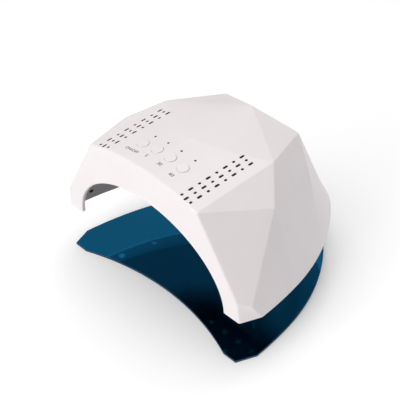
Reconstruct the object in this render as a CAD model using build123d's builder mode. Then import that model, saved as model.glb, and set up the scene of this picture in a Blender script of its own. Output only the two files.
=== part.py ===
# Nail-curing lamp: a faceted white hood with an open front for the hand, shown lifted off its loose
# magnetic base plate. X is the width, the open front faces -Y, and the plate's underside is at Z = 0.
import os

from build123d import *

os.makedirs("parts", exist_ok=True)

# Base plate with its mirror film, and how far the hood is lifted above it at rest
PLATE_THICKNESS = 1.6
FILM_THICKNESS = 0.2
PLATE_LIFT = 42.0
PLATE_INSET = 3.2
PLATE_FRONT = 0.4
PLATE_BAY_HALF = 85.5
PLATE_BAY_SAG = 17.0

# Base outline of the hood: an arc round the rear, and three more arcs that meet at feet on the right side.
# The flank's foot is given across and ahead of the rear middle, the others across and behind the front.
REAR_Y = 183.0
REAR_RADIUS = 71.5
REAR_TURN = 46.5
FLANK_FOOT = (84.16, 67.69)
HAUNCH_FOOT = (102.42, 63.75)
SIDE_FOOT = (108.68, 17.95)
FOOT_HALF = 102.0

# Front face: it leans forward, and its corners are given across and up
FRONT_LEAN = 0.06
ANKLE = (99.5, 19.2)
BROW = (60.7, 83.3)
CROWN = (0.0, 92.4)

# Corners of the facets on the right side, from the front foot line and the hood's underside
HIP = (106.2, 9.3, 13.6)
SHOULDER = (85.5, 51.4, 72.0)
TEMPLE = (60.7, 75.7, 89.6)
PEAK = (0.0, 45.5, 96.0)
CORE_Y = 75.0

# Corners of the rear facets: across, ahead of the rear middle, and up
NAPE_CORNER = (0.0, 69.0, 95.4)
REAR_SHOULDER_CORNER = (40.9, 57.8, 84.1)
FLANK_CORNER = (60.5, 65.7, 62.7)

# Hood walls, the rounding of its ridges, the arch for the hand, and the gap kept round what drops in
WALL = 2.6
FRONT_WALL = 3.2
RIDGE_ROUND = 2.0
ARCH_ROUND = 1.0
ARCH_HALF = 85.0
ARCH_HEIGHT = 61.5
ARCH_CUT = 6.4
FIT = 0.2

# Vent slots, in ranks of three with long and short slots taking turns
VENT_COLUMN_X = 46.6
VENT_COLUMN_PITCH = 4.7
VENT_RANKS = 8
VENT_RANK_PITCH = 8.8
VENT_MIDDLE_Y = 29.5
VENT_LONG = 5.0
VENT_SHORT = 2.9
VENT_WIDTH = 1.9
VENT_FLOOR_Z = 78.0

# Reflector: the inner casing round the hand, with a rim that closes the hood's underside
REFLECTOR_INSET = 10.5
REFLECTOR_WALL = 1.8
REAR_ROOM = 14.0
RIM_THICKNESS = 3.0
CEILING_Z = 66.5
CEILING_HALF = 40.0
EAVES_HALF = 100.0
EAVES_Z = 22.0

# Boards that carry the curing diodes, seated on pads of the reflector and held by its studs
BOARD_THICKNESS = 1.6
BOARD_EDGE = 8.0
PAD_HEIGHT = 0.6
STUD_RADIUS = 1.3
STUD_GAP = 0.1
STUD_HEAD = 0.8
STUD_INSET = 3.2
DIODE_RADIUS = 2.5
DIODE_BASE = 0.8
DIODE_DOME = 2.1
WINDOW_RADIUS = 3.2
WINDOW_CUT = 4.8
DIODE_PITCH = 18.0
CEILING_BOARD_AHEAD = 113.0
SIDE_BOARD_Y = 44.0
SIDE_BOARD_CLIMB = 0.66
REAR_BOARD_CLIMB = 0.68

# Buttons on the roof, from the front foot line, in a row that bows forward at its ends
BUTTON_COUNT = 4
BUTTON_PITCH = 15.0
BUTTON_Y = 18.8
BUTTON_BOW = 1.4
BUTTON_RADIUS = 4.8
BUTTON_GAP = 0.2
BUTTON_PROUD = 0.6
BUTTON_ROUND = 0.4
BUTTON_TRAVEL = 0.5
FLANGE_WIDTH = 1.2
FLANGE_DEPTH = 7.0
STEM_RADIUS = 1.6

# Indicator dots in a straight row behind the buttons
DOT_SPACING = 11.3
DOT_RADIUS = 0.9
DOT_GAP = 0.1

# Control board under the roof, hung on four posts, and what is soldered to it
CONTROL_DEPTH = 14.0
CONTROL_HALF_WIDTH = 38.0
CONTROL_LENGTH = 50.0
CONTROL_FRONT = 10.7
POST_INSET = 4.5
POST_RADIUS = 2.8
SWITCH_SIZE = 6.0
SWITCH_HEIGHT = 3.6
PLUNGER_RADIUS = 1.7
PLUNGER_REACH = 1.4
PLUNGER_DEPTH = 1.7
PLUNGER_GAP = 0.1
INDICATOR_SIZE = 1.6
INDICATOR_HEIGHT = 0.8
CHIP_SIZE = (10.0, 6.0, 1.7)
COIL_SIZE = (8.0, 8.0, 4.2)
CAPACITOR_RADIUS = 3.2
CAPACITOR_HEIGHT = 7.5
CAPACITOR_ROW = 35.0
HEADER_SIZE = (7.5, 4.5, 5.0)
PART_ROW = 26.0

# Leads between the boards, and the power lead from the socket up to the control board
LEAD_RADIUS = 0.8
LEAD_BEND = 1.2
LEAD_RISE = 4.0
LEAD_INSET = 3.0
CONTROL_LEAD_SHARE = (-0.5, -0.3)
SIDE_LEAD_SHARE = (1, -0.6)
POWER_LEAD_RADIUS = 1.2
POWER_LEAD_BEND = 3.5
POWER_LEAD_RISE = 7.0
POWER_LEAD_DEPTH = 6.5
POWER_LEAD_RUN = 10.7

# Screws that hold the control board
SCREW_RADIUS = 1.0
SCREW_LENGTH = 6.5
SCREW_HEAD_RADIUS = 1.9
SCREW_HEAD_HEIGHT = 1.4
SCREW_GAP = 0.05

# Screws that hold the reflector's rim to the bosses inside the hood, and the shares of the rim's arcs,
# from the side to the rear, at which they stand
CASE_SCREW_RADIUS = 1.3
CASE_SCREW_LENGTH = 9.0
CASE_HEAD_RADIUS = 2.4
CASE_HEAD_HEIGHT = 1.5
CASE_HEAD_SINK = 0.2
CASE_BOSS_RADIUS = 3.2
CASE_BOSS_HEIGHT = 12.0
CASE_SCREW_INSET = 6.6
CASE_SCREW_SHARES = (0.8, 0.6, None, None)
REAR_SCREW_INSET = 14.5
REAR_SCREW_SHARES = (None, None, None, 0.5)

# Magnets in the rim, and the steel keeper discs under the base plate that they pull on
MAGNET_RADIUS = 3.0
MAGNET_THICKNESS = 2.0
MAGNET_SINK = 0.1
MAGNET_INSET = 7.4
MAGNET_SHARES = (0.3, None, 0.5, None)
KEEPER_THICKNESS = 0.8
KEEPER_SINK = 0.1

# Power socket in the rear wall, seated on the rim
SOCKET_BORE_RADIUS = 2.75
SOCKET_PIN_RADIUS = 1.05
SOCKET_PIN_SHORT = 1.0
SOCKET_BORE_DEPTH = 9.0
SOCKET_NOSE_RADIUS = 4.0
SOCKET_WIDTH = 9.0
SOCKET_HEIGHT = 10.8
SOCKET_LENGTH = 10.0
SOCKET_SETBACK = 13.0
SOCKET_COLLAR_LENGTH = 9.5
SOCKET_NOSE_SHORT = 1.0
SOCKET_LEAD_BACK = 8.0

# Hand sensor behind its small window in the left wall of the reflector
SENSOR_Y = 16.9
SENSOR_Z = 8.9
SENSOR_RADIUS = 1.8
SENSOR_BOARD = (9.0, 11.0)
SENSOR_BOARD_THICKNESS = 1.0

# The hood's own frame: its origin is the middle of the front foot line, on the hood's underside
NAPE = (NAPE_CORNER[0], REAR_Y - NAPE_CORNER[1], NAPE_CORNER[2])
REAR_SHOULDER = (REAR_SHOULDER_CORNER[0], REAR_Y - REAR_SHOULDER_CORNER[1], REAR_SHOULDER_CORNER[2])
FLANK = (FLANK_CORNER[0], REAR_Y - FLANK_CORNER[1], FLANK_CORNER[2])
HOOD_Z = PLATE_THICKNESS + FILM_THICKNESS + PLATE_LIFT
FRONT_Y = (FRONT_LEAN * CROWN[1] - REAR_Y) / 2
HOOD = Plane((0, FRONT_Y, HOOD_Z))
FRONT = Plane(HOOD.origin, x_dir=(1, 0, 0), z_dir=(0, -1, -FRONT_LEAN))

# Radius and turn of each arc of the base outline, from the rear middle to the side foot
arc_sizes = [(REAR_RADIUS, REAR_TURN)]
with BuildLine() as foot_line:
    arc = JernArc((0, REAR_Y), (1, 0), REAR_RADIUS, -REAR_TURN)
    for foot in ((FLANK_FOOT[0], REAR_Y - FLANK_FOOT[1]), HAUNCH_FOOT, SIDE_FOOT):
        arc = TangentArc(arc @ 1, foot, tangent=arc % 1)
        arc_sizes.append((arc.edge().radius, (arc % 0).get_angle(arc % 1)))


def spot(x, y, z):
    """A point given from the front foot line and the hood's underside."""
    return HOOD.from_local_coords(Vector(x, y, z))


def drawn_in(corner, inset):
    """A facet corner, moved by the inset towards the core of the hood."""
    outward = Vector(*corner) - Vector(0, CORE_Y, 0)
    moved = Vector(*corner) - outward.normalized() * inset
    return spot(moved.X, moved.Y, moved.Z)


def front_corner(corner, inset, front_inset):
    """A corner of the leaning front face, moved by the inset towards the middle of its base."""
    across, up = corner
    share = 1 - inset / (across**2 + up**2) ** 0.5
    return spot(across * share, front_inset - FRONT_LEAN * up * share, up * share)


def base_arcs(inset):
    """Right half of the base outline, as arcs from the rear middle to the side foot."""
    start, heading = (0, REAR_Y - inset), (1, 0)
    arcs = []
    with BuildLine(HOOD):
        for radius, turn in arc_sizes:
            arc = JernArc(start, heading, radius - inset, -turn)
            start, heading = arc @ 1, arc % 1
            arcs.append(arc.edge())
    return arcs


def base_outline(inset, front):
    """The whole base outline as a sketch, drawn in by the inset and closed along the front."""
    start, heading = (0, REAR_Y - inset), (1, 0)
    with BuildSketch() as sketch:
        with BuildLine():
            for radius, turn in arc_sizes:
                arc = JernArc(start, heading, radius - inset, -turn)
                start, heading = arc @ 1, arc % 1
            foot = Line(start, (FOOT_HALF - inset, front))
            Line(foot @ 1, (0, front))
            mirror(about=Plane.YZ)
        make_face()
    return sketch.sketch


def flat_face(*corners):
    """A flat facet through its corners."""
    return Face(Wire.make_polygon(corners, close=True))


def ruled_face(first, second):
    """A facet ruled from one edge to another."""
    return Face.make_surface_from_curves(first, second)


def casing_form(inset, front_inset):
    """The faceted hood as one closed solid, drawn in by the inset: half is sewn, then mirrored."""
    rear_arc, flank_arc, haunch_arc, side_arc = base_arcs(inset)
    toe_middle = spot(0, front_inset, 0)
    toe = front_corner((FOOT_HALF, 0), inset, front_inset)
    ankle = front_corner(ANKLE, inset, front_inset)
    brow = front_corner(BROW, inset, front_inset)
    crown = front_corner(CROWN, inset, front_inset)
    hip = drawn_in(HIP, inset)
    shoulder = drawn_in(SHOULDER, inset)
    temple = drawn_in(TEMPLE, inset)
    peak = drawn_in(PEAK, inset)
    nape = drawn_in(NAPE, inset)
    rear_shoulder = drawn_in(REAR_SHOULDER, inset)
    flank = drawn_in(FLANK, inset)
    rear_ridge = Vector(0, rear_shoulder.Y, rear_shoulder.Z)
    rear_middle = rear_arc @ 0
    side_foot = side_arc @ 1

    roof_arc = Edge.make_tangent_arc(crown, Vector(1, 0, 0), brow)
    roof_rear = Edge.make_tangent_arc(peak, (temple - peak).normalized() + Vector(1, 0, 0), temple)
    front_edges = [
        Edge.make_line(toe_middle, toe),
        Edge.make_line(toe, ankle),
        Edge.make_line(ankle, brow),
        roof_arc,
        Edge.make_line(crown, toe_middle),
    ]
    base_edges = [
        Edge.make_line(toe_middle, toe),
        Edge.make_line(toe, side_foot),
        side_arc,
        haunch_arc,
        flank_arc,
        rear_arc,
        Edge.make_line(rear_middle, toe_middle),
    ]
    faces = [
        Face(Wire(front_edges)),
        Face(Wire(base_edges)),
        flat_face(toe_middle, crown, peak, nape, rear_ridge, rear_middle),
        ruled_face(Edge.make_line(toe, ankle), Edge.make_line(side_foot, hip)),
        ruled_face(Edge.make_line(ankle, brow), Edge.make_line(hip, shoulder)),
        ruled_face(roof_arc, roof_rear),
        flat_face(brow, shoulder, temple),
        flat_face(temple, rear_shoulder, nape),
        ruled_face(Edge.make_line(temple, rear_shoulder), Edge.make_line(shoulder, flank)),
        flat_face(nape, rear_shoulder, rear_ridge),
        ruled_face(Edge.make_line(shoulder, hip), side_arc),
        ruled_face(Edge.make_line(flank, shoulder), haunch_arc),
        ruled_face(Edge.make_line(rear_shoulder, flank), flank_arc),
        ruled_face(Edge.make_line(rear_ridge, rear_shoulder), rear_arc),
        *Shell.make_loft([Wire([roof_rear]), Vertex(nape)], ruled=True).faces(),
    ]
    with BuildPart() as form:
        add(Solid(Shell(faces)))
        mirror(about=Plane.YZ)
    return form.part


# Forms at the depths that the walls, the reflector and the buttons need
outer_form = casing_form(0, 0)
inner_form = casing_form(WALL, FRONT_WALL)
mid_wall_form = casing_form(WALL / 2, FRONT_WALL / 2)
drop_in_form = casing_form(WALL + FIT, FRONT_WALL + FIT)
button_top_form = casing_form(-BUTTON_PROUD, -BUTTON_PROUD)

# Roof frame: its origin is on the roof's middle line at the buttons, and it leans as that line does
crown = front_corner(CROWN, 0, 0)
peak = drawn_in(PEAK, 0)
roof_share = (spot(0, BUTTON_Y, 0).Y - crown.Y) / (peak.Y - crown.Y)
roof_normal = Vector(1, 0, 0).cross(peak - crown)
ROOF = Plane(crown + (peak - crown) * roof_share, x_dir=(1, 0, 0), z_dir=roof_normal)
BOARD = ROOF.offset(-CONTROL_DEPTH)

button_end = BUTTON_PITCH * (BUTTON_COUNT - 1) / 2
button_xs = [BUTTON_PITCH * n - button_end for n in range(BUTTON_COUNT)]
button_spots = [(x, -BUTTON_BOW * (x / button_end) ** 2) for x in button_xs]
dot_spots = [(x, DOT_SPACING) for x in button_xs]
control_rear = CONTROL_LENGTH - CONTROL_FRONT
post_x = CONTROL_HALF_WIDTH - POST_INSET
post_ys = (POST_INSET - CONTROL_FRONT, control_rear - POST_INSET)
post_spots = [(x, y) for x in (-post_x, post_x) for y in post_ys]


def rim_stations(inset, shares):
    """Spots on the rim, as shares along its arcs from the side to the rear, on both sides."""
    spots = []
    for arc, share in zip(reversed(base_arcs(inset)), shares):
        if share is not None:
            place = HOOD.to_local_coords(arc @ share)
            spots += [(place.X, place.Y), (-place.X, place.Y)]
    return spots


rear_screw_spots = rim_stations(REAR_SCREW_INSET, REAR_SCREW_SHARES)
case_screw_spots = rim_stations(CASE_SCREW_INSET, CASE_SCREW_SHARES) + rear_screw_spots
magnet_spots = rim_stations(MAGNET_INSET, MAGNET_SHARES)


def is_ridge(edge):
    """Whether an edge of the outer form is rounded: the rim, the seam and the shallow creases aren't."""
    if edge.distance_to(peak) < RIDGE_ROUND:
        return False
    middle = edge.center()
    if middle.Y > spot(0, SIDE_FOOT[1], 0).Y and edge.bounding_box().min.Z < HOOD_Z + RIDGE_ROUND:
        return False
    return min(middle.Z - HOOD_Z, abs(middle.X)) > RIDGE_ROUND


with BuildPart() as outer_casing:
    add(outer_form)
    fillet(outer_casing.edges().filter_by(is_ridge), radius=RIDGE_ROUND)

# Bay for the hand: a prism with sloping shoulders, cut to a drawn-in copy of the hood's own form
SIDE_VIEW = Plane(HOOD.origin, x_dir=(1, 0, 0), z_dir=(0, -1, 0))


def bay_solid(wall):
    """The bay with a wall round it, open at the front."""
    reflector_form = casing_form(REFLECTOR_INSET + REFLECTOR_WALL - wall, 0)
    with BuildPart() as bay:
        with BuildSketch(SIDE_VIEW):
            with BuildLine():
                eaves = Line((EAVES_HALF, 0), (EAVES_HALF, EAVES_Z))
                Polyline(eaves @ 1, (CEILING_HALF, CEILING_Z), (0, CEILING_Z))
                Line(eaves @ 0, (0, 0))
                mirror(about=Plane.YZ)
            make_face()
            if wall > 0:
                offset(amount=wall, kind=Kind.INTERSECTION)
        extrude(amount=REAR_Y, both=True)
        add(Pos(0, -REAR_ROOM, 0) * reflector_form, mode=Mode.INTERSECT)
    return bay.part


hand_bay = bay_solid(0)
reflector_body = bay_solid(REFLECTOR_WALL)

# Seats of the diode boards, on the outside of the reflector: each plane's Z points out of the bay
eaves_corner = Vector(EAVES_HALF, 0, EAVES_Z)
ceiling_corner = Vector(CEILING_HALF, 0, CEILING_Z)
slope_spot = eaves_corner + (ceiling_corner - eaves_corner) * SIDE_BOARD_CLIMB
slope_normal = (ceiling_corner - eaves_corner).cross(Vector(0, -1, 0)).normalized()
seat_height = REFLECTOR_WALL + PAD_HEIGHT
slope_seat = slope_spot + slope_normal * seat_height
right_seat = spot(slope_seat.X, SIDE_BOARD_Y, slope_seat.Z)
left_seat = spot(-slope_seat.X, SIDE_BOARD_Y, slope_seat.Z)
left_normal = Vector(-slope_normal.X, 0, slope_normal.Z)
rear_foot = spot(0, REAR_Y - REFLECTOR_INSET - REAR_ROOM, 0)
rear_shoulder = drawn_in(REAR_SHOULDER, REFLECTOR_INSET)
rear_top = Vector(0, rear_shoulder.Y - REAR_ROOM, rear_shoulder.Z)
rear_normal = Vector(1, 0, 0).cross(rear_foot - rear_top).normalized()
rear_seat = rear_foot + (rear_top - rear_foot) * REAR_BOARD_CLIMB + rear_normal * PAD_HEIGHT
seats = {
    "ceiling": (Plane(spot(0, REAR_Y - CEILING_BOARD_AHEAD, CEILING_Z + seat_height)), 4, 4),
    "left": (Plane(left_seat, (0, -1, 0), left_normal), 3, 2),
    "right": (Plane(right_seat, (0, 1, 0), slope_normal), 3, 2),
    "rear": (Plane(rear_seat, (1, 0, 0), rear_normal), 2, 2),
}

sensor_line = Axis(spot(0, SENSOR_Y, SENSOR_Z), (-1, 0, 0))
sensor_hit, sensor_normal = hand_bay.find_intersection_points(sensor_line)[-1]
sensor_seat = Plane(sensor_hit, (0, 1, 0), sensor_normal).offset(seat_height)


def board_size(across, along):
    """Width and length of a diode board."""
    return (across - 1) * DIODE_PITCH + 2 * BOARD_EDGE, (along - 1) * DIODE_PITCH + 2 * BOARD_EDGE


def stud_spots(across, along):
    """Two opposite corners of a diode board, where the studs pass."""
    width, length = board_size(across, along)
    x = width / 2 - STUD_INSET
    y = length / 2 - STUD_INSET
    return [(x, y), (-x, -y)]


def save(piece, name):
    """Label a finished piece and write its file."""
    piece.part.label = name
    export_step(piece.part, f"parts/{name}.step")


# Hood shell: the white top casing, with posts and bosses that end inside the roof and walls
with BuildPart() as inner_posts:
    with BuildSketch(BOARD):
        with Locations(*post_spots):
            Circle(POST_RADIUS)
    extrude(amount=CONTROL_DEPTH)
    with BuildSketch(HOOD.offset(RIM_THICKNESS)):
        with Locations(*case_screw_spots):
            Circle(CASE_BOSS_RADIUS)
    extrude(amount=CASE_BOSS_HEIGHT)
    add(mid_wall_form, mode=Mode.INTERSECT)

socket_z = RIM_THICKNESS + SOCKET_HEIGHT / 2
SOCKET = Plane(spot(0, REAR_Y - SOCKET_SETBACK, socket_z), x_dir=(-1, 0, 0), z_dir=(0, 1, 0))
socket_nose_length = SOCKET_COLLAR_LENGTH - SOCKET_NOSE_SHORT
case_shank_z = CASE_HEAD_SINK + CASE_HEAD_HEIGHT

with BuildPart() as hood_shell:
    add(outer_casing.part)
    add(inner_form, mode=Mode.SUBTRACT)
    add(inner_posts.part)
    with BuildSketch(FRONT):
        Ellipse(ARCH_HALF, ARCH_HEIGHT)
    extrude(amount=ARCH_CUT, both=True, mode=Mode.SUBTRACT)
    arch_edges = hood_shell.edges().filter_by(GeomType.ELLIPSE)
    fillet(arch_edges.sort_by(Axis.Y)[0], radius=ARCH_ROUND)
    with BuildSketch(HOOD.offset(VENT_FLOOR_Z)):
        for side in (-1, 1):
            for rank in range(VENT_RANKS):
                y = VENT_MIDDLE_Y + (rank - (VENT_RANKS - 1) / 2) * VENT_RANK_PITCH
                for column in (-1, 0, 1):
                    length = VENT_SHORT if (rank + column) % 2 else VENT_LONG
                    x = side * (VENT_COLUMN_X + column * VENT_COLUMN_PITCH)
                    with Locations((x, y)):
                        SlotOverall(length, VENT_WIDTH, rotation=90)
    extrude(amount=PEAK[2] - VENT_FLOOR_Z, mode=Mode.SUBTRACT)
    with BuildSketch(ROOF):
        with Locations(*button_spots):
            Circle(BUTTON_RADIUS + BUTTON_GAP)
        with Locations(*dot_spots):
            Circle(DOT_RADIUS + DOT_GAP)
    extrude(amount=FLANGE_DEPTH, both=True, mode=Mode.SUBTRACT)
    with BuildSketch(BOARD):
        with Locations(*post_spots):
            Circle(SCREW_RADIUS + SCREW_GAP)
    extrude(amount=SCREW_LENGTH, mode=Mode.SUBTRACT)
    with BuildSketch(HOOD.offset(RIM_THICKNESS)):
        with Locations(*case_screw_spots):
            Circle(CASE_SCREW_RADIUS + SCREW_GAP)
    extrude(amount=CASE_SCREW_LENGTH, mode=Mode.SUBTRACT)
    with BuildSketch(SOCKET):
        Circle(SOCKET_HEIGHT / 2)
    extrude(amount=SOCKET_COLLAR_LENGTH)
    with BuildSketch(SOCKET):
        Circle(SOCKET_NOSE_RADIUS + FIT)
    extrude(amount=SOCKET_SETBACK, mode=Mode.SUBTRACT)
save(hood_shell, "hood_shell")

# Reflector: the inner casing round the hand, with pads and studs for the boards and the rim below
with BuildPart() as reflector:
    add(reflector_body)
    for plane, across, along in seats.values():
        with BuildSketch(plane):
            Rectangle(*board_size(across, along))
        extrude(amount=-seat_height)
    with BuildSketch(sensor_seat):
        Rectangle(*SENSOR_BOARD)
    extrude(amount=-seat_height)
    with BuildSketch(HOOD):
        add(base_outline(WALL + FIT, FRONT_WALL + FIT))
    extrude(amount=RIM_THICKNESS)
    add(drop_in_form, mode=Mode.INTERSECT)
    add(hand_bay, mode=Mode.SUBTRACT)
    for plane, across, along in seats.values():
        with BuildSketch(plane):
            with GridLocations(DIODE_PITCH, DIODE_PITCH, across, along):
                Circle(WINDOW_RADIUS)
        extrude(amount=-WINDOW_CUT, mode=Mode.SUBTRACT)
        with BuildSketch(plane):
            with Locations(*stud_spots(across, along)):
                Circle(STUD_RADIUS)
        extrude(amount=BOARD_THICKNESS + STUD_HEAD)
    with BuildSketch(sensor_seat):
        Circle(SENSOR_RADIUS + FIT)
    extrude(amount=-WINDOW_CUT, mode=Mode.SUBTRACT)
    with BuildSketch(HOOD):
        with Locations(*case_screw_spots):
            Circle(CASE_SCREW_RADIUS + SCREW_GAP)
    extrude(amount=RIM_THICKNESS, mode=Mode.SUBTRACT)
    with BuildSketch(HOOD):
        with Locations(*case_screw_spots):
            Circle(CASE_HEAD_RADIUS + FIT)
    extrude(amount=case_shank_z, mode=Mode.SUBTRACT)
    with BuildSketch(HOOD):
        with Locations(*magnet_spots):
            Circle(MAGNET_RADIUS + SCREW_GAP)
    extrude(amount=MAGNET_SINK + MAGNET_THICKNESS, mode=Mode.SUBTRACT)
save(reflector, "reflector")

# Diode boards, and the domed diodes that reach through the reflector's windows
for name, (plane, across, along) in seats.items():
    with BuildPart() as led_board:
        with BuildSketch(plane):
            Rectangle(*board_size(across, along))
            with Locations(*stud_spots(across, along)):
                Circle(STUD_RADIUS + STUD_GAP, mode=Mode.SUBTRACT)
        extrude(amount=BOARD_THICKNESS)
    save(led_board, f"led_board_{name}")

    with BuildPart() as diodes:
        with BuildSketch(plane):
            with GridLocations(DIODE_PITCH, DIODE_PITCH, across, along):
                Circle(DIODE_RADIUS)
        extrude(amount=-DIODE_BASE)
        with Locations(plane.offset(-DIODE_BASE)):
            with GridLocations(DIODE_PITCH, DIODE_PITCH, across, along):
                Sphere(DIODE_DOME, arc_size2=0, align=(Align.CENTER, Align.CENTER, Align.MAX))
    save(diodes, f"uv_diodes_{name}")

# Hand sensor and its board
with BuildPart() as sensor_board:
    with BuildSketch(sensor_seat):
        Rectangle(*SENSOR_BOARD)
    extrude(amount=SENSOR_BOARD_THICKNESS)
save(sensor_board, "sensor_board")

with BuildPart() as hand_sensor:
    with BuildSketch(sensor_seat):
        Circle(SENSOR_RADIUS)
    extrude(amount=-seat_height)
save(hand_sensor, "hand_sensor")

# Control board and the parts soldered to it
with BuildPart() as control_board:
    with BuildSketch(BOARD):
        with Locations((0, (control_rear - CONTROL_FRONT) / 2)):
            Rectangle(CONTROL_HALF_WIDTH * 2, CONTROL_LENGTH)
        with Locations(*post_spots):
            Circle(SCREW_RADIUS + SCREW_GAP, mode=Mode.SUBTRACT)
    extrude(amount=-BOARD_THICKNESS)
save(control_board, "control_board")

with BuildPart() as tact_switches:
    with BuildSketch(BOARD):
        with Locations(*button_spots):
            Rectangle(SWITCH_SIZE, SWITCH_SIZE)
    extrude(amount=SWITCH_HEIGHT)
    with BuildSketch(BOARD.offset(SWITCH_HEIGHT)):
        with Locations(*button_spots):
            Circle(PLUNGER_RADIUS + PLUNGER_GAP)
    extrude(amount=-(PLUNGER_DEPTH + BUTTON_TRAVEL + PLUNGER_GAP), mode=Mode.SUBTRACT)
save(tact_switches, "tact_switches")

with BuildPart() as indicator_leds:
    with BuildSketch(BOARD):
        with Locations(*dot_spots):
            Rectangle(INDICATOR_SIZE, INDICATOR_SIZE)
    extrude(amount=INDICATOR_HEIGHT)
save(indicator_leds, "indicator_leds")

with BuildPart() as indicator_lenses:
    with BuildSketch(BOARD.offset(INDICATOR_HEIGHT)):
        with Locations(*dot_spots):
            Circle(DOT_RADIUS)
    extrude(amount=CONTROL_DEPTH)
    add(outer_form, mode=Mode.INTERSECT)
save(indicator_lenses, "indicator_lenses")

board_parts = {
    "microcontroller": (CHIP_SIZE, 0),
    "choke_coil": (COIL_SIZE, 1),
    "lead_header": (HEADER_SIZE, -1),
}
for name, (size, place) in board_parts.items():
    width, depth, height = size
    with BuildPart() as board_part:
        with BuildSketch(BOARD):
            with Locations((place * BUTTON_PITCH, PART_ROW)):
                Rectangle(width, depth)
        extrude(amount=height)
    save(board_part, name)

with BuildPart() as capacitors:
    with BuildSketch(BOARD):
        with Locations((-BUTTON_PITCH / 2, CAPACITOR_ROW), (BUTTON_PITCH / 2, CAPACITOR_ROW)):
            Circle(CAPACITOR_RADIUS)
    extrude(amount=CAPACITOR_HEIGHT)
save(capacitors, "capacitors")

with BuildPart() as board_screws:
    with BuildSketch(BOARD.offset(-BOARD_THICKNESS)):
        with Locations(*post_spots):
            Circle(SCREW_HEAD_RADIUS)
    extrude(amount=-SCREW_HEAD_HEIGHT)
    with BuildSketch(BOARD.offset(-BOARD_THICKNESS)):
        with Locations(*post_spots):
            Circle(SCREW_RADIUS)
    extrude(amount=SCREW_LENGTH)
save(board_screws, "board_screws")

# Leads from the control board to the ceiling's board, and on to the left, right and rear boards
def edge_spot(name, share):
    """A spot on the outside of a diode board, at shares of the way from its middle to its edges."""
    plane, across, along = seats[name]
    width, length = board_size(across, along)
    x = share[0] * (width / 2 - LEAD_INSET)
    y = share[1] * (length / 2 - LEAD_INSET)
    return Plane(plane.from_local_coords((x, y, BOARD_THICKNESS)), z_dir=plane.z_dir)


control_under = BOARD.from_local_coords((-post_x, control_rear / 2, -BOARD_THICKNESS))
side_share, front_share = SIDE_LEAD_SHARE
lead_ends = [
    (Plane(control_under, z_dir=-BOARD.z_dir), edge_spot("ceiling", CONTROL_LEAD_SHARE)),
    (edge_spot("ceiling", (-side_share, front_share)), edge_spot("left", (0, 1))),
    (edge_spot("ceiling", (side_share, front_share)), edge_spot("right", (0, 1))),
    (edge_spot("ceiling", (0, 1)), edge_spot("rear", (0, -1))),
]

with BuildPart() as board_leads:
    for start, end in lead_ends:
        with BuildLine() as route:
            FilletPolyline(
                start.origin,
                start.offset(LEAD_RISE).origin,
                end.offset(LEAD_RISE).origin,
                end.origin,
                radius=LEAD_BEND,
            )
        with BuildSketch(start):
            Circle(LEAD_RADIUS)
        sweep(path=route.line)
save(board_leads, "board_leads")

# Power lead: from the socket's top, up inside the rear wall, and forward to the header
socket_top = SOCKET.from_local_coords((0, SOCKET_HEIGHT / 2, -SOCKET_LEAD_BACK))
header_width, header_depth, header_height = HEADER_SIZE
header_back = BOARD.from_local_coords((-BUTTON_PITCH, PART_ROW + header_depth / 2, header_height / 2))
rear_wall_top = drawn_in(REAR_SHOULDER, WALL + POWER_LEAD_DEPTH)
roof_turn = Vector(0, rear_wall_top.Y, rear_wall_top.Z)

with BuildPart() as power_lead:
    with BuildLine() as route:
        FilletPolyline(
            socket_top,
            socket_top + Vector(0, 0, POWER_LEAD_RISE),
            roof_turn,
            header_back + BOARD.y_dir * POWER_LEAD_RUN,
            header_back,
            radius=POWER_LEAD_BEND,
        )
    with BuildSketch(Plane(socket_top)):
        Circle(POWER_LEAD_RADIUS)
    sweep(path=route.line)
save(power_lead, "power_lead")

# Screws and magnets in the rim
with BuildPart() as case_screws:
    with BuildSketch(HOOD.offset(CASE_HEAD_SINK)):
        with Locations(*case_screw_spots):
            Circle(CASE_HEAD_RADIUS)
    extrude(amount=CASE_HEAD_HEIGHT)
    with BuildSketch(HOOD.offset(case_shank_z)):
        with Locations(*case_screw_spots):
            Circle(CASE_SCREW_RADIUS)
    extrude(amount=CASE_SCREW_LENGTH)
save(case_screws, "case_screws")

with BuildPart() as plate_magnets:
    with BuildSketch(HOOD.offset(MAGNET_SINK)):
        with Locations(*magnet_spots):
            Circle(MAGNET_RADIUS)
    extrude(amount=MAGNET_THICKNESS)
save(plate_magnets, "plate_magnets")

# Power socket and its centre pin
with BuildPart() as power_socket:
    with BuildSketch(SOCKET):
        Rectangle(SOCKET_WIDTH, SOCKET_HEIGHT)
    extrude(amount=-SOCKET_LENGTH)
    with BuildSketch(SOCKET):
        Circle(SOCKET_NOSE_RADIUS)
    extrude(amount=socket_nose_length)
    with BuildSketch(SOCKET.offset(socket_nose_length)):
        Circle(SOCKET_BORE_RADIUS)
    extrude(amount=-SOCKET_BORE_DEPTH, mode=Mode.SUBTRACT)
save(power_socket, "power_socket")

with BuildPart() as socket_pin:
    with BuildSketch(SOCKET.offset(socket_nose_length - SOCKET_BORE_DEPTH)):
        Circle(SOCKET_PIN_RADIUS)
    extrude(amount=SOCKET_BORE_DEPTH - SOCKET_PIN_SHORT)
save(socket_pin, "socket_pin")

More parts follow.
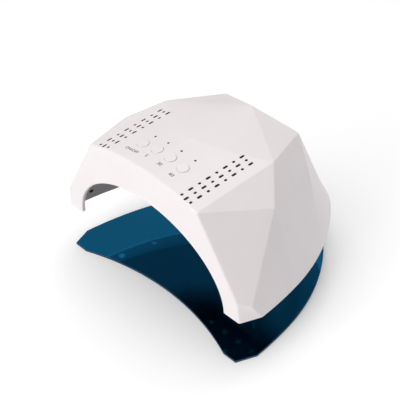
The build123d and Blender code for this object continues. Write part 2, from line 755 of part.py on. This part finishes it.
# Buttons: each cap follows the roof, its flange stays under the roof, and its stem meets a plunger
for number, place in enumerate(button_spots, start=1):
    with BuildPart() as cap:
        with BuildSketch(ROOF.offset(-FLANGE_DEPTH)):
            with Locations(place):
                Circle(BUTTON_RADIUS)
        extrude(amount=CONTROL_DEPTH)
        add(button_top_form, mode=Mode.INTERSECT)
        fillet(cap.faces().sort_by(Axis.Z)[-1].edges(), radius=BUTTON_ROUND)
    with BuildPart() as button:
        with BuildSketch(ROOF.offset(-FLANGE_DEPTH)):
            with Locations(place):
                Circle(BUTTON_RADIUS + FLANGE_WIDTH)
        extrude(amount=FLANGE_DEPTH)
        add(drop_in_form, mode=Mode.INTERSECT)
        add(cap.part)
        with BuildSketch(ROOF.offset(-FLANGE_DEPTH)):
            with Locations(place):
                Circle(STEM_RADIUS)
        extrude(amount=-(CONTROL_DEPTH - FLANGE_DEPTH - SWITCH_HEIGHT - PLUNGER_REACH))
    save(button, f"button_{number}")

    with BuildPart() as plunger:
        with BuildSketch(BOARD.offset(SWITCH_HEIGHT + PLUNGER_REACH)):
            with Locations(place):
                Circle(PLUNGER_RADIUS)
        extrude(amount=-(PLUNGER_REACH + PLUNGER_DEPTH))
    save(plunger, f"switch_plunger_{number}")

# Base plate: a thin sheet that follows the hood's outline, with a shallow bay in its front edge
PLATE = Plane((0, FRONT_Y, 0))

with BuildSketch() as plate_outline:
    add(base_outline(PLATE_INSET, PLATE_FRONT))
    with BuildLine():
        bay_edge = ThreePointArc(
            (-PLATE_BAY_HALF, PLATE_FRONT), (0, PLATE_FRONT + PLATE_BAY_SAG), (PLATE_BAY_HALF, PLATE_FRONT)
        )
        Line(bay_edge @ 1, bay_edge @ 0)
    make_face(mode=Mode.SUBTRACT)

with BuildPart() as base_plate:
    with BuildSketch(PLATE):
        add(plate_outline.sketch)
    extrude(amount=PLATE_THICKNESS)
    with BuildSketch(PLATE):
        with Locations(*magnet_spots):
            Circle(MAGNET_RADIUS + SCREW_GAP)
    extrude(amount=KEEPER_SINK + KEEPER_THICKNESS, mode=Mode.SUBTRACT)
save(base_plate, "base_plate")

with BuildPart() as mirror_film:
    with BuildSketch(PLATE.offset(PLATE_THICKNESS)):
        add(plate_outline.sketch)
    extrude(amount=FILM_THICKNESS)
save(mirror_film, "mirror_film")

with BuildPart() as keeper_discs:
    with BuildSketch(PLATE.offset(KEEPER_SINK)):
        with Locations(*magnet_spots):
            Circle(MAGNET_RADIUS)
    extrude(amount=KEEPER_THICKNESS)
save(keeper_discs, "keeper_discs")
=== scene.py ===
# Nail-curing lamp: looks for the faceted white hood, its grey lining and its blue mirrored plate.
import math

import bpy
from mathutils import Matrix, Vector
from mathutils.bvhtree import BVHTree


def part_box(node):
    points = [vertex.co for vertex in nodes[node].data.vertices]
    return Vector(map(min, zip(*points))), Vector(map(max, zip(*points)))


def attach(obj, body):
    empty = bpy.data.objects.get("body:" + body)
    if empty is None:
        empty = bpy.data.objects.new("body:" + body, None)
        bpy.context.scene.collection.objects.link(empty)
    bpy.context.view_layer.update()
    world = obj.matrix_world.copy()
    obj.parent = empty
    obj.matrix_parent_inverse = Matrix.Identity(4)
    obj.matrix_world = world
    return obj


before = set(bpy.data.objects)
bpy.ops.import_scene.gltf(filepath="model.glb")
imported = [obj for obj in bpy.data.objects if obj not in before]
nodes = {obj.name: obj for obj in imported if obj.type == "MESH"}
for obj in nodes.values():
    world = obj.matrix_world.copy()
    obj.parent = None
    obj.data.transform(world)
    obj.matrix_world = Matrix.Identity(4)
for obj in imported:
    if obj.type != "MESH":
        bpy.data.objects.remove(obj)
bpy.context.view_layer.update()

# Sizes and places are in mm unless a comment says otherwise, and this turns them into metres
MM = 0.001

# The hood's own frame starts on its underside, in the middle of the front foot line
HOOD_DEPTH = 183.0
hood_low, hood_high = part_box("hood_shell")
HOOD_Z = hood_low.z / MM
FRONT_Y = hood_high.y / MM - HOOD_DEPTH

# Camera, solved from the photograph's corners: degrees round from the front and up, then its place from the
# front foot line along its own right, up and back
AZIMUTH = 46.642
ELEVATION = 37.153
CAMERA_RIGHT = 40.902
CAMERA_UP = 47.43
CAMERA_BACK = 847.212
LENS = 95.37
SENSOR_WIDTH = 36.0
# The nearest and farthest that it sees, in metres
CLIP = (0.05, 20.0)

# Where the painted shade of the vent slots lies: out from the middle line, back from the front, and down
# from the roof
SLOT_X = (40.0, 54.5)
SLOT_Y = (-4.4, 75.0)
SLOT_DEPTH = (0.45, 4.0)
# The roof over them: its height at the front's middle, and how much each mm outwards and rearwards adds
SLOT_ROOF = (97.21, -0.2115, 0.0678)
# A wall is upright where its facing has less than this up or down in it
SLOT_UPRIGHT = 0.5
# Painted shade: the dark base colour given to the slot walls in place of the shade inside the slots
SLOT_PAINTED_SHADE = (0.1, 0.097, 0.1)

# Painted shade: heights in the hood between which the bay's lining darkens, and the tone that it darkens to
BAY_PAINTED_SHADE_Z = (34.0, 64.0)
BAY_PAINTED_SHADE = (0.02, 0.018, 0.03)

# Print in front of the buttons: text, place across and behind the front, and letter size
LABELS = (("ON/OFF", -22.9, 6.3, 3.9), ("5", -7.9, 8.0, 4.2), ("30", 7.1, 8.0, 4.4), ("60", 22.1, 6.3, 4.4))
LABEL_BOLD = 0.06
LABEL_LIFT = 0.02
BUTTON_COUNT = 4

# Noise stays mostly between these two values, so a tone or gloss that follows it runs from one to the other
NOISE_SPAN = (0.3, 0.7)

# Moulded plastic: how its tone and gloss drift, and how much detail its grain has. Scales are per metre.
DRIFT_SCALE = 28.0
DRIFT_DETAIL = 3.0
DRIFT_GLOSS = (0.9, 1.12)
GRAIN_DETAIL = 2.0

# Metal: its ground grain, how far its tone and gloss follow that, and the grain's depth and strength
METAL_SCALE = 900.0
METAL_DETAIL = 3.0
METAL_TINT = 0.86
METAL_GLOSS = (0.8, 1.3)
METAL_RELIEF = 0.01
METAL_BUMP = 0.25

# Curing diodes, indicator lights and the mirrored plate: the two ends that their tone or gloss runs between
DIODE_SCALE = 260.0
DIODE_TONES = ((0.38, 0.32, 0.15), (0.52, 0.48, 0.36))
CHIP_SCALE = 900.0
CHIP_GLOSS = (0.1, 0.2)
SMEAR_SCALE = 14.0
SMEAR_DETAIL = 5.0
MIRROR_TONES = ((0.0044, 0.158, 0.336), (0.0048, 0.17, 0.36))
MIRROR_GLOSS = (0.035, 0.08)

# Floor, in metres, and the even light of the floor and the surroundings
FLOOR_HALF = 3.0
FLOOR_TONE = 0.95
FLOOR_ROUGHNESS = 0.9
FLOOR_GLOW = 0.13
WORLD_GLOW = 0.3
WHITE_LIGHT = (1.0, 1.0, 1.0, 1.0)

# The point that the soft boxes face, and how far from it they stand, in metres
LIGHT_AIM = Vector((0, 0, 0.08))
LIGHT_REACH = 1.95
# Each soft box: degrees round from the front, degrees up, power, and size in metres
SOFT_BOXES = {
    "front_low": (3, 13, 8.6, 1.2),
    "front_high": (0, 40, 12.8, 1.2),
    "rear_low": (180, 12, 3.4, 1.2),
    "rear_left": (222, 38, 2.5, 2.4),
    "rear_high": (200, 62, 6.6, 1.2),
    "top_left": (300, 70, 5.5, 1.2),
    "top": (80, 82, 7.0, 1.2),
}


def hood_point(x, y, z):
    """A point in metres, given in mm from the front foot line and the hood's underside."""
    return Vector((x, y + FRONT_Y, z + HOOD_Z)) * MM


def direction(turn, rise):
    """The direction that many degrees round from the front and up from level."""
    turn = math.radians(turn)
    rise = math.radians(rise)
    return Vector((math.sin(turn) * math.cos(rise), -math.cos(turn) * math.cos(rise), math.sin(rise)))


# Camera
back = direction(AZIMUTH, ELEVATION)
right = Vector((0, 0, 1)).cross(back).normalized()
up = back.cross(right)
camera_place = hood_point(*(right * CAMERA_RIGHT + up * CAMERA_UP + back * CAMERA_BACK))
camera = bpy.data.objects.new("camera", bpy.data.cameras.new("camera"))
camera.data.lens = LENS
camera.data.sensor_width = SENSOR_WIDTH
camera.data.clip_start, camera.data.clip_end = CLIP
camera.matrix_world = Matrix.Translation(camera_place) @ Matrix((right, up, back)).transposed().to_4x4()
bpy.context.collection.objects.link(camera)
bpy.context.scene.camera = camera


# Materials
def new_material(name, base, roughness, metallic=0.0, **more):
    """A material and its shader. Any further socket is named with _ for each space."""
    material = bpy.data.materials.new(name)
    material.use_nodes = True
    shader = material.node_tree.nodes["Principled BSDF"]
    shader.inputs["Base Color"].default_value = (*base, 1.0)
    shader.inputs["Roughness"].default_value = roughness
    shader.inputs["Metallic"].default_value = metallic
    for socket, value in more.items():
        shader.inputs[socket.replace("_", " ")].default_value = value
    return material, shader


def add_noise(material, scale, detail=4.0):
    """Noise in the piece's own metres, so that its grain keeps its real size."""
    tree = material.node_tree
    place = tree.nodes.new("ShaderNodeTexCoord")
    noise = tree.nodes.new("ShaderNodeTexNoise")
    noise.inputs["Scale"].default_value = scale
    noise.inputs["Detail"].default_value = detail
    tree.links.new(place.outputs["Object"], noise.inputs["Vector"])
    return noise.outputs["Fac"]


def vary_colour(material, shader, factor, first, second):
    """The base colour moves between two tones."""
    tree = material.node_tree
    ramp = tree.nodes.new("ShaderNodeValToRGB")
    for stop, position, tone in zip(ramp.color_ramp.elements, NOISE_SPAN, (first, second)):
        stop.position = position
        stop.color = (*tone, 1.0)
    tree.links.new(factor, ramp.inputs["Fac"])
    tree.links.new(ramp.outputs["Color"], shader.inputs["Base Color"])


def vary_roughness(material, shader, factor, low, high):
    """The roughness moves between two values."""
    tree = material.node_tree
    spread = tree.nodes.new("ShaderNodeMapRange")
    spread.inputs["From Min"].default_value = NOISE_SPAN[0]
    spread.inputs["From Max"].default_value = NOISE_SPAN[1]
    spread.inputs["To Min"].default_value = low
    spread.inputs["To Max"].default_value = high
    tree.links.new(factor, spread.inputs["Value"])
    tree.links.new(spread.outputs["Result"], shader.inputs["Roughness"])


def add_bump(material, shader, factor, relief, strength=0.3):
    """A fine relief of that depth in mm."""
    tree = material.node_tree
    bump = tree.nodes.new("ShaderNodeBump")
    bump.inputs["Strength"].default_value = strength
    bump.inputs["Distance"].default_value = relief * MM
    tree.links.new(factor, bump.inputs["Height"])
    tree.links.new(bump.outputs["Normal"], shader.inputs["Normal"])


def moulded(name, base, roughness, grain=2200.0, relief=0.02, tint=0.97):
    """Moulded plastic: a fine satin grain, and tones and gloss that drift a little across it."""
    material, shader = new_material(name, base, roughness)
    drift = add_noise(material, DRIFT_SCALE, DRIFT_DETAIL)
    darker = tuple(channel * tint for channel in base)
    low, high = DRIFT_GLOSS
    vary_colour(material, shader, drift, darker, base)
    vary_roughness(material, shader, drift, roughness * low, roughness * high)
    add_bump(material, shader, add_noise(material, grain, GRAIN_DETAIL), relief)
    return material


def metal(name, base, roughness):
    """Metal with a fine ground grain, which its tone and gloss follow."""
    material, shader = new_material(name, base, roughness, metallic=1.0)
    grain = add_noise(material, METAL_SCALE, METAL_DETAIL)
    darker = tuple(channel * METAL_TINT for channel in base)
    low, high = METAL_GLOSS
    vary_colour(material, shader, grain, darker, base)
    vary_roughness(material, shader, grain, roughness * low, roughness * high)
    add_bump(material, shader, grain, METAL_RELIEF, METAL_BUMP)
    return material


def add_math(material, operation, *values):
    """One sum on sockets and numbers."""
    tree = material.node_tree
    node = tree.nodes.new("ShaderNodeMath")
    node.operation = operation
    for socket, value in zip(node.inputs, values):
        if isinstance(value, bpy.types.NodeSocket):
            tree.links.new(value, socket)
        else:
            socket.default_value = value
    return node.outputs["Value"]


def add_between(material, value, low, high):
    """1 where a length in metres lies between two limits in mm, and 0 elsewhere."""
    above = add_math(material, "GREATER_THAN", value, low * MM)
    below = add_math(material, "LESS_THAN", value, high * MM)
    return add_math(material, "MULTIPLY", above, below)


def add_axes(material, source):
    """The three parts of the surface's place (Object) or facing (Normal)."""
    tree = material.node_tree
    place = tree.nodes.new("ShaderNodeTexCoord")
    split = tree.nodes.new("ShaderNodeSeparateXYZ")
    tree.links.new(place.outputs[source], split.inputs["Vector"])
    return split.outputs


def paint_shade_where(material, mask, shade):
    """Painted shade: the base colour turns to a darker one as the mask goes to 1."""
    tree = material.node_tree
    shader = tree.nodes["Principled BSDF"]
    tone = shader.inputs["Base Color"].links[0].from_socket
    mix = tree.nodes.new("ShaderNodeMix")
    mix.data_type = "RGBA"
    colours = [socket for socket in mix.inputs if socket.type == "RGBA"]
    tree.links.new(mask, mix.inputs["Factor"])
    tree.links.new(tone, colours[0])
    colours[1].default_value = (*shade, 1.0)
    result = next(socket for socket in mix.outputs if socket.type == "RGBA")
    tree.links.new(result, shader.inputs["Base Color"])


def paint_slot_shade(material):
    """Painted shade: the upright walls of the vent slots, from just under the roof, get a dark base colour
    in place of their deep shade.
    """
    place = add_axes(material, "Object")
    facing = add_axes(material, "Normal")
    across = add_math(material, "ABSOLUTE", place["X"])
    along = add_math(material, "SUBTRACT", place["Y"], FRONT_Y * MM)
    height, fall, rise = SLOT_ROOF
    roof_height = add_math(material, "MULTIPLY_ADD", across, fall, (height + HOOD_Z) * MM)
    roof_height = add_math(material, "MULTIPLY_ADD", along, rise, roof_height)
    depth = add_math(material, "SUBTRACT", roof_height, place["Z"])
    mask = add_math(material, "LESS_THAN", add_math(material, "ABSOLUTE", facing["Z"]), SLOT_UPRIGHT)
    for value, span in ((across, SLOT_X), (along, SLOT_Y), (depth, SLOT_DEPTH)):
        mask = add_math(material, "MULTIPLY", mask, add_between(material, value, *span))
    paint_shade_where(material, mask, SLOT_PAINTED_SHADE)


def paint_bay_shade(material):
    """Painted shade: the lining's tone falls off upwards, into the depth of the bay, in place of the shade
    there.
    """
    low, high = BAY_PAINTED_SHADE_Z
    tree = material.node_tree
    rise = tree.nodes.new("ShaderNodeMapRange")
    rise.interpolation_type = "SMOOTHSTEP"
    rise.inputs["From Min"].default_value = (low + HOOD_Z) * MM
    rise.inputs["From Max"].default_value = (high + HOOD_Z) * MM
    tree.links.new(add_axes(material, "Object")["Z"], rise.inputs["Value"])
    paint_shade_where(material, rise.outputs["Result"], BAY_PAINTED_SHADE)


white = moulded("white_casing", (0.83, 0.776, 0.785), 0.36)
# Painted shade on the vent slot walls of the white casing
paint_slot_shade(white)
button_white = moulded("button_white", (0.84, 0.79, 0.797), 0.3, relief=0.01)
liner = moulded("reflector_grey", (0.41, 0.372, 0.376), 0.38)
# Painted shade in the upper bay of the grey lining
paint_bay_shade(liner)
black = moulded("black_plastic", (0.012, 0.012, 0.013), 0.45)
plunger = moulded("switch_plunger", (0.02, 0.02, 0.02), 0.4)
header = moulded("header_cream", (0.74, 0.68, 0.52), 0.5)
board_white = moulded("white_board", (0.8, 0.8, 0.77), 0.4)
board_green = moulded("green_board", (0.01, 0.12, 0.05), 0.35, grain=700.0, relief=0.05, tint=0.6)
smoked = moulded("indicator_lens", (0.03, 0.03, 0.032), 0.2)
coil = moulded("coil_core", (0.05, 0.05, 0.052), 0.6, grain=1500.0, relief=0.08, tint=0.7)
lead_black = moulded("lead_black", (0.016, 0.016, 0.017), 0.5, tint=0.8)
plate_sheet = moulded("plate_sheet", (0.012, 0.034, 0.075), 0.22, relief=0.01)
print_grey = moulded("print_grey", (0.08, 0.08, 0.083), 0.5)

steel = metal("screw_steel", (0.55, 0.55, 0.56), 0.3)
nickel = metal("magnet_nickel", (0.66, 0.65, 0.62), 0.22)
can = metal("capacitor_can", (0.7, 0.7, 0.71), 0.28)
brass = metal("pin_brass", (0.72, 0.52, 0.24), 0.2)

chip, chip_shader = new_material("indicator", (0.75, 0.75, 0.7), CHIP_GLOSS[0], Transmission_Weight=0.2)
vary_roughness(chip, chip_shader, add_noise(chip, CHIP_SCALE), *CHIP_GLOSS)

diode, diode_shader = new_material("diode_lens", DIODE_TONES[0], 0.06, Coat_Weight=1.0)
vary_colour(diode, diode_shader, add_noise(diode, DIODE_SCALE), *DIODE_TONES)

mirror, mirror_shader = new_material("mirror_blue", MIRROR_TONES[0], MIRROR_GLOSS[0], metallic=1.0)
smear = add_noise(mirror, SMEAR_SCALE, SMEAR_DETAIL)
vary_colour(mirror, mirror_shader, smear, *MIRROR_TONES)
vary_roughness(mirror, mirror_shader, smear, *MIRROR_GLOSS)

finishes = {
    "hood_shell": white,
    "reflector": liner,
    "control_board": board_green,
    "sensor_board": board_green,
    "microcontroller": black,
    "tact_switches": black,
    "hand_sensor": black,
    "power_socket": black,
    "indicator_leds": chip,
    "indicator_lenses": smoked,
    "choke_coil": coil,
    "lead_header": header,
    "capacitors": can,
    "board_screws": steel,
    "case_screws": steel,
    "plate_magnets": nickel,
    "keeper_discs": nickel,
    "board_leads": lead_black,
    "power_lead": lead_black,
    "socket_pin": brass,
    "base_plate": plate_sheet,
    "mirror_film": mirror,
}
for side in ("ceiling", "left", "right", "rear"):
    finishes[f"led_board_{side}"] = board_white
    finishes[f"uv_diodes_{side}"] = diode
for number in range(1, BUTTON_COUNT + 1):
    finishes[f"button_{number}"] = button_white
    finishes[f"switch_plunger_{number}"] = plunger
for name, node in nodes.items():
    node.data.materials.clear()
    node.data.materials.append(finishes[name])

# Print on the roof: each letter's corners are laid on the hood's form
casing = nodes["hood_shell"].data
roof = BVHTree.FromPolygons([v.co for v in casing.vertices], [tuple(p.vertices) for p in casing.polygons])
DOWN = Vector((0, 0, -1))


def print_label(number, text, x, y, size):
    """Text printed on the roof, read from the front."""
    letters = bpy.data.curves.new(f"label_{number}", "FONT")
    letters.body = text
    letters.size = size * MM
    letters.offset = LABEL_BOLD * MM
    letters.align_x = "CENTER"
    letters.align_y = "CENTER"
    drawing = bpy.data.objects.new(f"label_{number}_drawing", letters)
    mesh = bpy.data.meshes.new_from_object(drawing)
    bpy.data.objects.remove(drawing)
    middle = hood_point(x, y, 0)
    for corner in mesh.vertices:
        above = Vector((middle.x + corner.co.x, middle.y + corner.co.y, hood_high.z + MM))
        hit, normal, _, _ = roof.ray_cast(above, DOWN)
        corner.co = hit + normal * LABEL_LIFT * MM
    mesh.materials.clear()
    mesh.materials.append(print_grey)
    label = bpy.data.objects.new(f"label_{number}", mesh)
    bpy.context.collection.objects.link(label)
    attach(label, "hood")


for label_number, (text, x, y, size) in enumerate(LABELS, start=1):
    print_label(label_number, text, x, y, size)

# Floor and surroundings
floor_mesh = bpy.data.meshes.new("floor")
floor_corners = [(-1, -1, 0), (1, -1, 0), (1, 1, 0), (-1, 1, 0)]
floor_mesh.from_pydata([Vector(corner) * FLOOR_HALF for corner in floor_corners], [], [(0, 1, 2, 3)])
floor = bpy.data.objects.new("floor", floor_mesh)
bpy.context.collection.objects.link(floor)
floor_white, _ = new_material("floor_white", (FLOOR_TONE,) * 3, FLOOR_ROUGHNESS,
                              Emission_Color=WHITE_LIGHT, Emission_Strength=FLOOR_GLOW)
floor_mesh.materials.append(floor_white)

world = bpy.data.worlds.new("studio")
world.use_nodes = True
surroundings = world.node_tree.nodes["Background"]
surroundings.inputs["Color"].default_value = WHITE_LIGHT
surroundings.inputs["Strength"].default_value = WORLD_GLOW
bpy.context.scene.world = world
bpy.context.scene.view_settings.view_transform = "Standard"

# Soft boxes
for light_name, (turn, rise, power, size) in SOFT_BOXES.items():
    towards = direction(turn, rise)
    light = bpy.data.lights.new(light_name, "AREA")
    light.size = size
    light.energy = power
    box = bpy.data.objects.new(light_name, light)
    box.location = LIGHT_AIM + towards * LIGHT_REACH
    box.rotation_mode = "QUATERNION"
    box.rotation_quaternion = towards.to_track_quat("Z", "Y")
    bpy.context.collection.objects.link(box)
